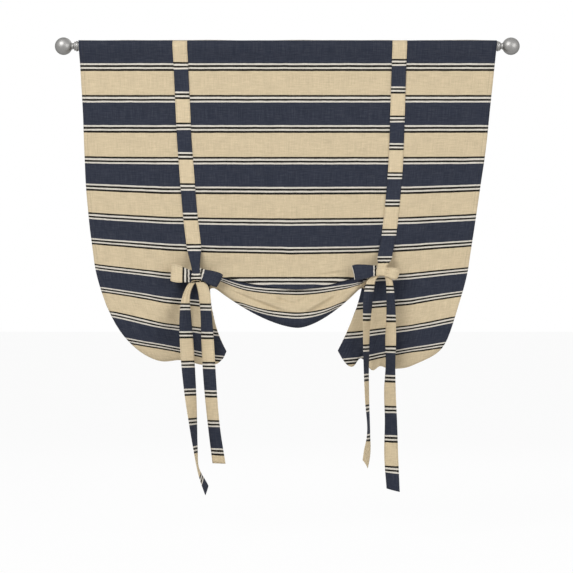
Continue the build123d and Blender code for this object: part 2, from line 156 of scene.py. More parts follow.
# Folds of a tail: width and drop of the tie that they fan out from, then the angle, width and
# height of each
TAIL_FOLDS = {
    -1: (-253, 620, ((-52, 8, 5), (-37, 7, 9), (-22, 8, -4), (-6, 8, 7), (12, 9, 4))),
    1: (262, 610, ((52, 8, 4), (32, 9, 5), (12, 6, 7), (-2, 4, -7), (-10, 7, 8), (-24, 7, 3))),
}

# Columns of the cloth across a tail, a turn into a tie and each half of the swag, fine rows to
# a control row, how many of them the upper cloth skips, and passes of evening out
TAIL_COLUMNS = 58
TURN_COLUMNS = 9
SWAG_COLUMNS = (42, 36)
ROW_STEPS = 9
UPPER_SKIP = 3
EVEN_PASSES = 3

# Straps and bows: width and half width as hung, drops of the control points, how far a strap
# stands off the pocket and the cloth, its place and run on the print, the depths of a knot
# and of the loose ends, and the hook under the swag; then each strap's middle by height
STRAP_WIDTH = 41.0
STRAP_HALF_WIDTH = 20.3
STRAP_DOWN = (60, 110, 180, 260, 340, 420, 490, 535)
STRAP_OFF_POCKET = 1.9
STRAP_OFF_CLOTH = 2.1
STRAP_SEAM_LIFT = 0.4
STRAP_SEAM_DEPTHS = (8.6, 2.4)
STRAP_PRINT = {-1: (106.4, 1.0212), 1: (112.5, 1.0933)}
KNOT_FRONT = 38.0
LOOSE_DEPTH = 46.0
HOOK_ROOM = 3.0
HOOK_NARROWS = 13.0
HOOK_PRINT = (90, 0.55)
STRAP_LEFT_Z = (16, -3, -262, -382, -465, -551, -602, -629)
STRAP_LEFT_X = (-299, -299, -287, -278, -271.6, -261, -256, -252.5)
STRAP_RIGHT_Z = (16, -3, -262, -348, -446, -527, -602, -618)
STRAP_RIGHT_X = (313.4, 313, 305, 301, 292.7, 283.5, 268, 263)


def smooth_step(value):
    """Rises from 0 to 1 with level ends: 3t squared less 2t cubed."""
    t = np.clip(value, 0, 1)
    return t * t * (3 - 2 * t)


def through(points, steps):
    """Smooth rows through control rows, for every column at once.

    Each stretch is a cubic with the control rows as its ends; its slopes there are the
    means of the slopes on either side, weighted by the other side's chord.
    """
    chord = np.linalg.norm(np.diff(points[..., :3], axis=0), axis=-1)
    chord = np.maximum(chord, 1e-6)[..., None]
    slope = np.diff(points, axis=0) / chord
    tangent = np.empty_like(points)
    tangent[0], tangent[-1] = slope[0], slope[-1]
    tangent[1:-1] = (chord[:-1] * slope[1:] + chord[1:] * slope[:-1]) / (chord[:-1] + chord[1:])
    t = (np.arange(steps) / steps).reshape(1, steps, *[1] * (points.ndim - 1))
    start, end = points[:-1, None], points[1:, None]
    leave, arrive = (tangent[:-1] * chord)[:, None], (tangent[1:] * chord)[:, None]
    rows = (
        start * (2 * t**3 - 3 * t**2 + 1)
        + leave * (t**3 - 2 * t**2 + t)
        + end * (3 * t**2 - 2 * t**3)
        + arrive * (t**3 - t**2)
    )
    return np.concatenate([rows.reshape(-1, *points.shape[1:]), points[-1:]])


def soften(rows, passes):
    """Evens out neighbouring columns: each becomes a quarter, a half and a quarter."""
    for _ in range(passes):
        rows[:, 1:-1] = 0.25 * rows[:, :-2] + 0.5 * rows[:, 1:-1] + 0.25 * rows[:, 2:]
    return rows


def half_width(side, drop):
    """Half the cloth's width at a drop, on the left (side -1) or the right."""
    return np.interp(drop, SIDE_DROP, LEFT_HALF_WIDTH if side < 0 else RIGHT_HALF_WIDTH)


def sway(x, z):
    """Depth of the flat cloth: slow waves across it that die out at the rod."""
    hang = smooth_step(-z / 420)
    waves = 1.3 * np.sin(x / 83 + 0.6) + 0.9 * np.sin(x / 47 - z / 310 + 2.0)
    waves = waves + 0.6 * np.sin(x / 29 + z / 240)
    return waves * hang


def ahead(x, drop):
    """How far the print runs ahead of the plain drop, between the rows and columns of
    the table."""
    place = np.abs(x)
    by_column = [np.interp(drop, AHEAD_DROP, row) for row in AHEAD]
    found = by_column[-1] + 0 * place
    for i in range(len(AHEAD_PLACE) - 2, -1, -1):
        share = (place - AHEAD_PLACE[i]) / (AHEAD_PLACE[i + 1] - AHEAD_PLACE[i])
        between = by_column[i] + (by_column[i + 1] - by_column[i]) * np.clip(share, 0, 1)
        found = np.where(place < AHEAD_PLACE[i + 1], between, found)
    return found * np.where(x > 0, RIGHT_AHEAD, 1.0)


def radiating_folds(x, z, knot_x, knot_drop, ridges):
    """Soft ridges that fan out downwards from a tie: each is a bell across the angle at
    the tie, growing with the distance from it."""
    right, down = x - knot_x, -z - knot_drop
    away = np.hypot(right, down)
    angle = np.degrees(np.arctan2(right, np.maximum(down, 1e-6)))
    grow = smooth_step((away - 10) / 150)
    depth = 0 * x
    for at, width, height in ridges:
        depth = depth - height * grow * np.exp(-(((angle - at) / width) ** 2))
    return depth


def width_at(share, drops):
    """Place across at each drop of the columns at these shares of the half width."""
    half = np.where(share < 0, half_width(-1, drops[:, None]), half_width(1, drops[:, None]))
    return share * half


def pocket_rows(share):
    """Round the rod: up the back from the seam, over the crown, which puffs up a little
    in slow waves, and down to the seam."""
    lean = math.asin(POCKET_RADIUS / POCKET_SEAM)
    turn = np.linspace(-lean, math.pi + lean, 9)
    depth = np.concatenate([
        [POCKET_SEAM_DEPTH, POCKET_MIDWAY_DEPTH], POCKET_RADIUS * np.cos(turn),
        [-POCKET_MIDWAY_DEPTH, -POCKET_SEAM_DEPTH],
    ])
    height = np.concatenate([
        [-POCKET_SEAM, -POCKET_MIDWAY], POCKET_RADIUS * np.sin(turn), [-POCKET_MIDWAY, -POCKET_SEAM],
    ])
    rows = np.empty((len(depth), len(share), 4))
    rows[..., 0] = width_at(share, -height)
    x = rows[..., 0]
    puff = POCKET_PUFF + 0.45 * np.sin(x / 61.0) + 0.45 * np.sin(x / 37.0 + 1) + 0.3 * np.sin(x / 19.0)
    rows[..., 1] = depth[:, None]
    rows[..., 2] = height[:, None] + puff * np.clip(height[:, None] / POCKET_RADIUS, 0, 1)
    front = np.arange(len(depth)) >= len(depth) // 2
    rows[..., 3] = np.where(front, 1, -1)[:, None] * (CROWN - rows[..., 2])
    return rows


def flat_rows(share):
    """The flat cloth under the pocket, drawn in towards the ties at its sides."""
    drops = np.array(FLAT_DROPS, float)
    rows = np.empty((len(drops), len(share), 4))
    rows[..., 0] = width_at(share, drops)
    rows[..., 2] = -drops[:, None]
    rows[..., 1] = sway(rows[..., 0], rows[..., 2])
    rows[..., 3] = CROWN - rows[..., 2] + ahead(rows[..., 0], CROWN - rows[..., 2])
    return rows


def swag_rows(x):
    """The swag: its profile goes from the low one to the tied one as the 1.6th power of
    the way to the tie. The place on the cloth follows the drop down to the lip, goes evenly
    through the hidden tuck, is read from the table on the belly, and follows the length of
    the cloth behind."""
    span = np.where(x < SWAG_LOW_X, SWAG_LOW_X - SWAG_LEFT_END, SWAG_RIGHT_END - SWAG_LOW_X)
    blend = np.clip(np.abs(x - SWAG_LOW_X) / span, 0, 1) ** 1.6
    low, tied = np.array(SWAG_LOW, float), np.array(SWAG_TIED, float)
    rows = np.empty((len(low), len(x), 4))
    rows[..., 0] = x
    rows[..., 1:3] = low[:, None] + (tied - low)[:, None] * blend[:, None]
    rows[..., 2] = -DRAPE - rows[..., 2]
    upper = SWAG_FLAT_PLACE - DRAPE - rows[:4, :, 2]
    way = blend * np.sign(x - SWAG_LOW_X)
    belly = np.array([np.interp(way, SWAG_WAY, places) for places in SWAG_BELLY_PLACES])
    tuck = np.linspace(0, 1, 6)[1:-1, None]
    rows[:8, :, 3] = np.concatenate([upper, upper[-1] + (belly[0] - upper[-1]) * tuck])
    rows[8:13, :, 3] = belly
    step = np.linalg.norm(np.diff(rows[12:, :, :3], axis=0), axis=-1)
    rows[13:, :, 3] = belly[-1] + np.cumsum(step, axis=0)
    return rows


def creases(x, z, table):
    """Depth of the creases of a table: each is a bell across its line, steeper on its lower
    side, which fades out towards both of its ends."""
    depth = 0 * x
    for (from_x, from_drop), (to_x, to_drop), width, height in table:
        run = np.array([to_x - from_x, from_drop - to_drop], float)
        length = np.hypot(*run)
        right, up = x - from_x, z + from_drop
        along = (right * run[0] + up * run[1]) / length**2
        below = (right * run[1] - up * run[0]) / length * np.sign(run[0])
        bell = np.exp(-((below / np.where(below > 0, 0.5 * width, 1.5 * width)) ** 2))
        depth = depth - height * bell * np.exp(-(((along - 0.5) / 0.42) ** 4))
    return depth


def tail_rows(side, share):
    """A tail: every column leans in as a power of its way down to its foot, turns under
    there and comes up again behind."""
    foot = np.array(LEFT_FOOT if side < 0 else RIGHT_FOOT)
    edge = half_width(side, DRAPE)
    top = edge + share * (TAIL_INNER_X - edge)
    foot_x = np.interp(share, foot[:, 0], foot[:, 1])
    foot_drop = np.interp(share, foot[:, 0], foot[:, 2])
    power = 1.35 + (1.65 if side < 0 else 0.4) * share**3
    down = np.array(TAIL_DOWN)[:, None]
    rows = np.empty((len(TAIL_DOWN), len(share), 4))
    rows[..., 0] = side * (top + (foot_x - top) * down**power)
    rows[..., 2] = -DRAPE - (foot_drop - DRAPE) * down
    rows[..., 1] = np.array(TAIL_DEPTH)[:, None] + sway(rows[..., 0], rows[..., 2])
    rows[..., 1] += radiating_folds(rows[..., 0], rows[..., 2], *TAIL_FOLDS[side])
    drop = CROWN - rows[..., 2]
    rows[..., 3] = drop + ahead(rows[..., 0], drop)
    turn = TAIL_DOWN.index(1.0)
    step = np.linalg.norm(np.diff(rows[turn:, :, :3], axis=0), axis=-1)
    rows[turn + 1:, :, 3] = rows[turn, :, 3] + np.cumsum(step, axis=0)
    return rows


def turn_rows(side, columns):
    """Between a tail's inner edge and the end of the swag the cloth runs behind the tail,
    up into the tie: a mean of the two, swung outwards and back in between."""
    tail = tail_rows(side, np.ones(1))
    swag = swag_rows(np.array([SWAG_LEFT_END if side < 0 else SWAG_RIGHT_END]))
    way = np.arange(1, columns + 1) / (columns + 1)
    rows = tail + (swag - tail) * smooth_step(way)[:, None]
    low = smooth_step(np.arange(len(tail)) / 5)[:, None]
    rows[..., 0] += side * 42 * np.sin(math.pi * way) * low
    rows[..., 1] += 22 * np.sin(math.pi * way) * low
    return rows


def panel_grid():
    """The whole cloth: columns from the left edge to the right, rows from the pocket's
    seam behind, over the rod and down to the hem."""
    tail_share = np.sin(np.linspace(0, math.pi / 2, TAIL_COLUMNS)) ** 1.15
    swag_x = SWAG_LOW_X + np.concatenate([
        (SWAG_LEFT_END - SWAG_LOW_X) * np.linspace(1, 0, SWAG_COLUMNS[0])[:-1],
        (SWAG_RIGHT_END - SWAG_LOW_X) * np.linspace(0, 1, SWAG_COLUMNS[1]),
    ])
    drape = np.concatenate([
        tail_rows(-1, tail_share),
        turn_rows(-1, TURN_COLUMNS),
        swag_rows(swag_x),
        turn_rows(1, TURN_COLUMNS)[:, ::-1],
        tail_rows(1, tail_share)[:, ::-1],
    ], axis=1)
    left, right = half_width(-1, DRAPE), half_width(1, DRAPE)
    turn_way = np.arange(1, TURN_COLUMNS + 1) / (TURN_COLUMNS + 1)
    top = np.concatenate([
        -(left + tail_share * (TAIL_INNER_X - left)),
        -TAIL_INNER_X + turn_way * (TAIL_INNER_X + SWAG_LEFT_END),
        swag_x,
        SWAG_RIGHT_END + turn_way * (TAIL_INNER_X - SWAG_RIGHT_END),
        (right + tail_share * (TAIL_INNER_X - right))[::-1],
    ])
    share = top / np.where(top < 0, left, right)
    places = share * np.where(share < 0, LEFT_HALF_WIDTH[0], RIGHT_HALF_WIDTH[0])
    rows = np.concatenate([pocket_rows(share), flat_rows(share), drape])
    steps, thin, upper = ROW_STEPS, UPPER_SKIP, len(rows) - len(drape)
    fine = soften(through(rows, steps), EVEN_PASSES)
    fine = np.concatenate([fine[:upper * steps:thin], fine[upper * steps:]])
    belly = slice(upper * steps // thin + 8 * steps, upper * steps // thin + 12 * steps)
    hung = slice(len(tail_share) + TURN_COLUMNS, -len(tail_share) - TURN_COLUMNS)
    fine[belly, hung, 1] += creases(fine[belly, hung, 0], fine[belly, hung, 2], SWAG_CREASES)
    flat = slice((upper - 3) * steps // thin, upper * steps // thin + 2 * steps)
    fine[flat, hung, 1] += creases(fine[flat, hung, 0], fine[flat, hung, 2], FLAT_CREASES)
    uv = np.stack([np.broadcast_to(places, fine.shape[:2]), fine[..., 3]], axis=-1)
    return fine[..., :3], uv


def strap_centre(side, z):
    """Middle of a strap at a height."""
    if side < 0:
        return np.interp(-z, [-h for h in STRAP_LEFT_Z], STRAP_LEFT_X)
    return np.interp(-z, [-h for h in STRAP_RIGHT_Z], STRAP_RIGHT_X)


def ribbon(path, across, places, pleat=0.0, crown=0.0, columns=13):
    """A strap along a path: straight across by the given half-width vectors, with pleats
    and a crown along its normal. The normal is the path's run crossed with the width."""
    share = np.linspace(-1, 1, columns)[None, :, None]
    run = np.gradient(path, axis=0)
    normal = np.cross(run, across)
    normal /= np.maximum(np.linalg.norm(normal, axis=-1, keepdims=True), 1e-9)
    pleat = np.broadcast_to(np.asarray(pleat, float), path.shape[:1])[:, None, None]
    crown = np.broadcast_to(np.asarray(crown, float), path.shape[:1])[:, None, None]
    lift = pleat * np.cos(2.5 * math.pi * share) + crown * (1 - share**2)
    points = path[:, None] + across[:, None] * share + normal[:, None] * lift
    half = np.full((len(path), columns), STRAP_WIDTH / 2) * share[..., 0]
    uv = np.stack([half, np.broadcast_to(np.asarray(places, float)[:, None], half.shape)], axis=-1)
    return points, uv


def strap_places(side, z):
    """Place on the strap's print at a height."""
    place, run = STRAP_PRINT[side]
    return place - run * z


# Each bow: the knot's width and drop, the hook's width, and over what reach and to what half
# width the strap narrows. A loop: which way it runs, length, height at the knot and at the
# end, tilt, lift, leans of its edges at the knot and at the end, and its print. An end:
# length, slant of its cut and its print. A print is a place on the cloth and its run.
BOWS = {
    -1: {
        "knot": (-253.0, 643.0), "hook": 204.0, "narrow": (75.0, 11.0),
        "front_loop": (1, 63.0, 27, 42, -21, 11, (-15, -27), (10.0, 1)),
        "back_loop": (-1, 65.0, 32, 50, 11, 0, (0, 1), (113.0, 1)),
        "front_end": (508.0, 0.0, (765.0, 1.067)), "back_end": (583.0, 0.55, (764.0, 1.083)),
    },
    1: {
        "knot": (262.0, 629.0), "hook": 206.0, "narrow": (26.0, 13.0),
        "front_loop": (1, 40.0, 26, 32, -11, 0, (0, -22), (92.0, 1)),
        "back_loop": (-1, 73.0, 27, 43, -5, 4, (0, -12), (167.3, 1.11)),
        "front_end": (596.0, -0.2, (809.0, 1.036)), "back_end": (524.0, -0.6, (804.7, 1.035)),
    },
}
# Down each loose end: share of its length, shift and spread in strap widths, turn in degrees
LOOSE_ENDS = {
    (-1, "back"): (
        (0, -0.15, 0.35, 10), (0.03, -0.42, 0.42, 12), (0.06, -0.60, 0.47, 20), (0.10, -0.71, 0.64, 28),
        (0.15, -0.72, 0.90, 38), (0.30, -0.63, 1, 28), (0.52, -0.40, 1, 38), (0.66, -0.22, 1, 57),
        (0.80, -0.03, 1, 76), (0.90, 0.16, 1, 87), (1, 0.74, 1, 78),
    ),
    (-1, "front"): (
        (0, 0.12, 0.45, -10), (0.03, 0.40, 0.80, -20), (0.06, 0.52, 0.88, -25), (0.14, 0.64, 0.96, -37),
        (0.32, 0.78, 1, -32), (0.52, 0.92, 1, -30), (0.80, 1.22, 1, -36), (1, 1.56, 1, -28),
    ),
    (1, "back"): (
        (0, -0.30, 0.42, 5), (0.03, -0.70, 0.58, 10), (0.07, -0.83, 0.70, 24), (0.22, -1.01, 1, 56),
        (0.44, -1.06, 1, 67), (0.66, -1.0, 1, 73), (0.84, -0.90, 1, 77),
        (0.95, -1.02, 1, 62), (1, -1.13, 1, 63),
    ),
    (1, "front"): (
        (0, 0.40, 0.48, -30), (0.03, 0.50, 0.52, -34), (0.07, 0.56, 0.60, -36), (0.18, 0.62, 0.85, -46),
        (0.30, 0.59, 1, -47), (0.42, 0.58, 1, -53), (0.53, 0.54, 1, -43), (0.68, 0.61, 1, -38),
        (0.84, 0.63, 1, -24), (1, 0.76, 1, -28),
    ),
}


def strap_top(side, face):
    """Depth and height of a strap over the crown, round the pocket and down the front (face
    -1) or the back of the cloth."""
    lean = math.asin(POCKET_RADIUS / POCKET_SEAM)
    turn = math.pi / 2 - face * np.linspace(0, math.pi / 2 + lean, 5)
    out = POCKET_RADIUS + STRAP_OFF_POCKET
    down = np.array(STRAP_DOWN, float)
    flat = sway(strap_centre(side, -down), -down) + face * STRAP_OFF_CLOTH
    if face < 0:
        flat[:2] -= STRAP_SEAM_LIFT
    depth = np.concatenate([out * np.cos(turn), face * np.array(STRAP_SEAM_DEPTHS), flat])
    height = np.concatenate([out * np.sin(turn), [-POCKET_MIDWAY, -POCKET_SEAM], -down])
    return depth, height


def front_strap(side):
    """From the crown down the front of the cloth, then forward and over the knot."""
    knot_x, knot_drop = BOWS[side]["knot"]
    depth, height = strap_top(side, -1)
    lower = np.array([
        (-4.5, -555), (-16, -584), (-30, -knot_drop + 30), (-KNOT_FRONT - 1, -knot_drop + 12),
        (-KNOT_FRONT - 4, -knot_drop), (-KNOT_FRONT - 1, -knot_drop - 12),
        (-KNOT_FRONT + 7, -knot_drop - 15),
    ])
    depth, height = np.concatenate([depth, lower[:, 0]]), np.concatenate([height, lower[:, 1]])
    x = strap_centre(side, height)
    x = np.where(height < -knot_drop + 13, knot_x, x)
    path = through(np.stack([x, depth, height], axis=-1)[:, None], 8)[:, 0]
    above = -knot_drop + 14 - path[:, 2]
    reach, least = BOWS[side]["narrow"]
    narrow = smooth_step((above + reach) / reach)
    spread = STRAP_HALF_WIDTH - narrow * (STRAP_HALF_WIDTH - least)
    spread = spread + smooth_step((above - 1) / 12) * 2.6
    across = np.zeros_like(path)
    across[:, 0] = spread
    folds = narrow * 1.1 * (1 - 0.5 * smooth_step(above / 8))
    crown = 3.5 * smooth_step((above + 4) / 12)
    return ribbon(path, across, strap_places(side, path[:, 2]), folds, -crown, 17)


def back_strap(side):
    """From the crown down the back of the cloth, under the swag and up into the knot."""
    bow = BOWS[side]
    knot_x, knot_drop = bow["knot"]
    hook_x = side * bow["hook"]
    depth, height = strap_top(side, 1)
    under = DRAPE + SWAG_TIED[12][1] + HOOK_ROOM
    lower = np.array([
        (9, -560), (22, -592), (27, -625), (26, -660), (16, -under + 3), (0, -under - 1),
        (-14, -under + 3), (-24, -under + 14), (-26, -knot_drop - 6), (-25.5, -knot_drop + 4),
    ])
    depth, height = np.concatenate([depth, lower[:, 0]]), np.concatenate([height, lower[:, 1]])
    x = strap_centre(side, height)
    order = np.arange(len(height)) - len(depth) + len(lower)
    x = np.where(order >= 0, x + (hook_x - x) * smooth_step((order + 1) / 4), x)
    x = np.where(order >= 7, hook_x + (knot_x - hook_x) * smooth_step((order - 6) / 3), x)
    path = through(np.stack([x, depth, height], axis=-1)[:, None], 8)[:, 0]
    step = np.concatenate([[0], np.cumsum(np.linalg.norm(np.diff(path, axis=0), axis=-1))])
    narrow = smooth_step((step - 540) / 70)
    across = np.zeros_like(path)
    across[:, 0] = STRAP_HALF_WIDTH - narrow * HOOK_NARROWS
    place, run = HOOK_PRINT
    return ribbon(path, across, place + run * (step[-1] - step), 1.4 * narrow, 0.0, 17)


def bow_loop(side, layer):
    """A loop of the bow: out along the front, round the far end and back behind. Its run
    is tilted in the plane of the curtain, and its edges lean more towards the far end."""
    outward, length, root, end, tilt, lift, leans, (place, run) = BOWS[side][layer + "_loop"]
    knot_x, knot_drop = BOWS[side]["knot"]
    along = np.array([outward * math.cos(math.radians(tilt)), 0, math.sin(math.radians(tilt))])
    start = np.array([knot_x + outward * 7.0, -31.0 if layer == "back" else -34.0, lift - knot_drop])
    line = np.array([
        (0, 1.0), (0.12, -4.0), (0.32, -9.5), (0.58, -12.5), (0.82, -11.5), (0.96, -7.5), (1.0, -2.0),
        (0.96, 3.0), (0.82, 5.5), (0.55, 5.0), (0.28, 3.5), (0.02, 1.8),
    ])
    line = np.concatenate([line * (length, 1), np.zeros((len(line), 1))], axis=1)
    fine = through(line[:, None], 7)[:, 0]
    path = start + fine[:, :1] * along + fine[:, 1:2] * np.array([0, 1.0, 0])
    share = np.clip(fine[:, 0] / length, 0, 1)
    half = (root + (end - root) * smooth_step(share * 1.25)) / 2
    half = half * (1 - 0.07 * smooth_step((share - 0.86) / 0.14))
    angle = np.radians(leans[0] + (leans[1] - leans[0]) * smooth_step(share))
    upright = np.stack([-outward * np.sin(angle), 0 * angle, np.cos(angle)], axis=-1)
    across = upright * half[:, None]
    step = np.concatenate([[0], np.cumsum(np.linalg.norm(np.diff(path, axis=0), axis=-1))])
    far = step[np.argmax(fine[:, 0])]
    places = place + run * np.abs(step - far)
    folds = 1.7 * (1 - smooth_step(share / 0.6))
    return ribbon(path, across, places, folds, 1.2, 17)


def loose_end(side, layer):
    """A hanging end: it leaves the knot gathered, opens, turns about its length, and is
    cut at a slant."""
    bow = BOWS[side]
    knot_x, knot_drop = bow["knot"]
    stations = np.array(LOOSE_ENDS[(side, layer)])
    length, slant, (place, run) = bow[layer + "_end"]
    start_depth = 30.0 if layer == "back" else 34.0
    settled = np.minimum(1, stations[:, 0] / 0.15)
    control = np.stack([
        knot_x + stations[:, 1] * STRAP_WIDTH,
        -start_depth - settled * (LOOSE_DEPTH - start_depth),
        -knot_drop - 8 - stations[:, 0] * (length + 1),
        stations[:, 2] * STRAP_WIDTH / 2,
        np.radians(stations[:, 3]),
    ], axis=-1)
    fine = through(control[:, None], 14)[:, 0]
    way = (fine[0, 2] - fine[:, 2]) / length
    rise = slant * smooth_step((way - 0.86) / 0.14)
    level = np.sqrt(1 - rise**2)
    turned = np.stack([np.cos(fine[:, 4]) * level, np.sin(fine[:, 4]) * level, rise], axis=-1)
    across = turned * fine[:, 3:4]
    step = np.concatenate([[0], np.cumsum(np.linalg.norm(np.diff(fine[:, :3], axis=0), axis=-1))])
    gathered = 1 - fine[:, 3] / (STRAP_WIDTH / 2)
    crown = 1.5 + 1.2 * np.sin(step / 95.0 + side)
    return ribbon(fine[:, :3], across, place + run * step, 2.2 * gathered, crown, 13)


def finial_profile():
    """Distance along the rod from its end and radius: blind hole for the stud, collar, bead,
    neck and ball."""
    lead = [
        (26.15, 0.0), (26.15, 4.15), (0.15, 4.15), (0.15, 13.4), (0.5, 14.1), (1.2, 14.4), (3.6, 14.4),
        (4.4, 14.1), (4.8, 13.5), (5.0, 12.2), (5.6, 11.9), (6.4, 12.1), (7.2, 12.6), (8.4, 12.7),
        (9.2, 12.3), (9.8, 11.2), (10.4, 9.6), (11.4, 8.6), (12.8, 8.2), (14.0, 8.3), (15.2, 9.0),
    ]
    centre, radius = 39.5, 24.4
    ball = [(centre + radius * math.cos(math.pi - a), radius * math.sin(a))
            for a in np.linspace(math.radians(24), math.pi, 36)]
    return np.array(lead + ball)


def lathe(profile, side, end_x, turns=96):
    """Profile turned about the rod's axis, outwards from the rod's end at end_x. It turns
    against the side, so that faces point outwards at both ends."""
    angle = np.linspace(0, 2 * math.pi, turns + 1)
    along, radius = profile[:, 0][:, None], profile[:, 1][:, None]
    points = np.stack([
        side * (end_x + along) + 0 * angle,
        radius * np.cos(-side * angle),
        radius * np.sin(-side * angle),
    ], axis=-1)
    uv = np.stack(np.broadcast_arrays(angle * 20, along), axis=-1)
    return points, uv


def make_piece(name, sheets, material, thickness=None, weld=False):
    """One object from grids of points in millimetres, with their UV map in metres. Welding
    closes the seams and poles of turned shapes."""
    vertices, quads, uvs, start = [], [], [], 0
    for points, uv in sheets:
        rows, columns = points.shape[:2]
        index = start + np.arange(rows * columns).reshape(rows, columns)
        quad = np.stack([index[:-1, :-1], index[1:, :-1], index[1:, 1:], index[:-1, 1:]], axis=-1)
        vertices.append(points.reshape(-1, 3))
        quads.append(quad.reshape(-1, 4))
        uvs.append(uv.reshape(-1, 2))
        start += rows * columns
    vertices, uvs = np.concatenate(vertices) * MM, np.concatenate(uvs) * MM
    quads = np.concatenate(quads)
    mesh = bpy.data.meshes.new(name)
    mesh.from_pydata(vertices.tolist(), [], quads.tolist())
    layer = mesh.uv_layers.new(name="Cloth")
    layer.data.foreach_set("uv", uvs[quads.ravel()].astype(np.float32).ravel())
    mesh.polygons.foreach_set("use_smooth", np.ones(len(quads), dtype=bool))
    mesh.materials.append(material)
    if weld:
        shape = bmesh.new()
        shape.from_mesh(mesh)
        bmesh.ops.remove_doubles(shape, verts=shape.verts, dist=1e-6)
        shape.to_mesh(mesh)
        shape.free()
    mesh.update()
    piece = bpy.data.objects.new(name, mesh)
    bpy.context.scene.collection.objects.link(piece)
    if thickness:
        shell = piece.modifiers.new("Cloth thickness", "SOLIDIFY")
        shell.thickness = thickness
        shell.offset = 0
    return piece


class Value:
    """A number socket, so that shader maths reads as an expression."""

    def __init__(self, maker, socket):
        self.maker, self.socket = maker, socket

    def _math(self, operation, *values):
        return self.maker.node("ShaderNodeMath", {"operation": operation}, dict(enumerate(values)))

    def __add__(self, other):
        return self._math("ADD", self, other)

    __radd__ = __add__

    def __sub__(self, other):
        return self._math("SUBTRACT", self, other)

    def __rsub__(self, other):
        return self._math("SUBTRACT", other, self)

    def __mul__(self, other):
        return self._math("MULTIPLY", self, other)

    __rmul__ = __mul__

    def __truediv__(self, other):
        return self._math("DIVIDE", self, other)

    def __rtruediv__(self, other):
        return self._math("DIVIDE", other, self)

    def __abs__(self):
        return self._math("ABSOLUTE", self)

    def __lt__(self, other):
        return self._math("LESS_THAN", self, other)

    def __gt__(self, other):
        return self._math("GREATER_THAN", self, other)

    def fraction(self):
        return self._math("FRACT", self)

    def at_least(self, other):
        return self._math("MAXIMUM", self, other)


class Nodes:
    """A node tree in the making."""

    def __init__(self, tree):
        self.tree = tree

    def node(self, kind, settings=None, inputs=None, output=0):
        """Adds a node: its settings, then the values or links of its sockets."""
        node = self.tree.nodes.new(kind)
        for name, value in (settings or {}).items():
            if name == "stops":
                ramp = node.color_ramp
                while len(ramp.elements) < len(value):
                    ramp.elements.new(1.0)
                for element, (position, colour) in zip(ramp.elements, value):
                    element.position, element.color = position, (*colour, 1.0)
            elif name == "interpolation":
                node.color_ramp.interpolation = value
            else:
                setattr(node, name, value)
        for socket, value in (inputs or {}).items():
            self.feed(node.inputs[socket], value)
        return Value(self, node.outputs[output])

    def feed(self, socket, value):
        """Links a wrapped socket to a socket, or sets the socket's number or colour."""
        if isinstance(value, Value):
            self.tree.links.new(value.socket, socket)
        else:
            socket.default_value = value

    def seen(self):
        """1 for rays from the camera, from shiny surfaces and through clear ones."""
        rays = [self.node("ShaderNodeLightPath", {}, output=name)
                for name in ("Is Camera Ray", "Is Glossy Ray", "Is Transmission Ray")]
        return rays[0].at_least(rays[1]).at_least(rays[2])

    def mixed(self, share, first, second, blend="MIX"):
        """A colour between two others."""
        return self.node("ShaderNodeMix", {"data_type": "RGBA", "blend_type": blend},
                         {0: share, 6: first, 7: second}, output=2)


class Finish(Nodes):
    """A material in the making."""

    def __init__(self, name):
        self.material = bpy.data.materials.new(name)
        self.material.use_nodes = True
        super().__init__(self.material.node_tree)
        self.shader = self.tree.nodes["Principled BSDF"]

    def surface(self, **values):
        """Feeds the shader's sockets, named with underscores."""
        for name, value in values.items():
            self.feed(self.shader.inputs[name.replace("_", " ")], value)
        return self.material


# Stitches, in metres: half the width of their line, the length of one with its gap, how much
# of that it takes, and how far the hems lie in from the edges of the panel and of a strap
STITCH_HALF_WIDTH = 0.0008
STITCH_LENGTH = 0.004
STITCH_SHARE = 0.6
PANEL_HEM = 0.012
STRAP_HEM = 0.003
# Painted shade in the stitches' dimples: the dark colour that the cloth is mixed towards along them
STITCH_PAINTED_SHADE = (0.05, 0.045, 0.04, 1.0)
# Pale flecks where thick threads cross, and how much brighter the straps are painted than the panel:
# painted light, as both are the same cloth
FLECK_COLOUR = (0.62, 0.58, 0.52, 1.0)
STRAP_PAINTED_LIGHT = 1.08


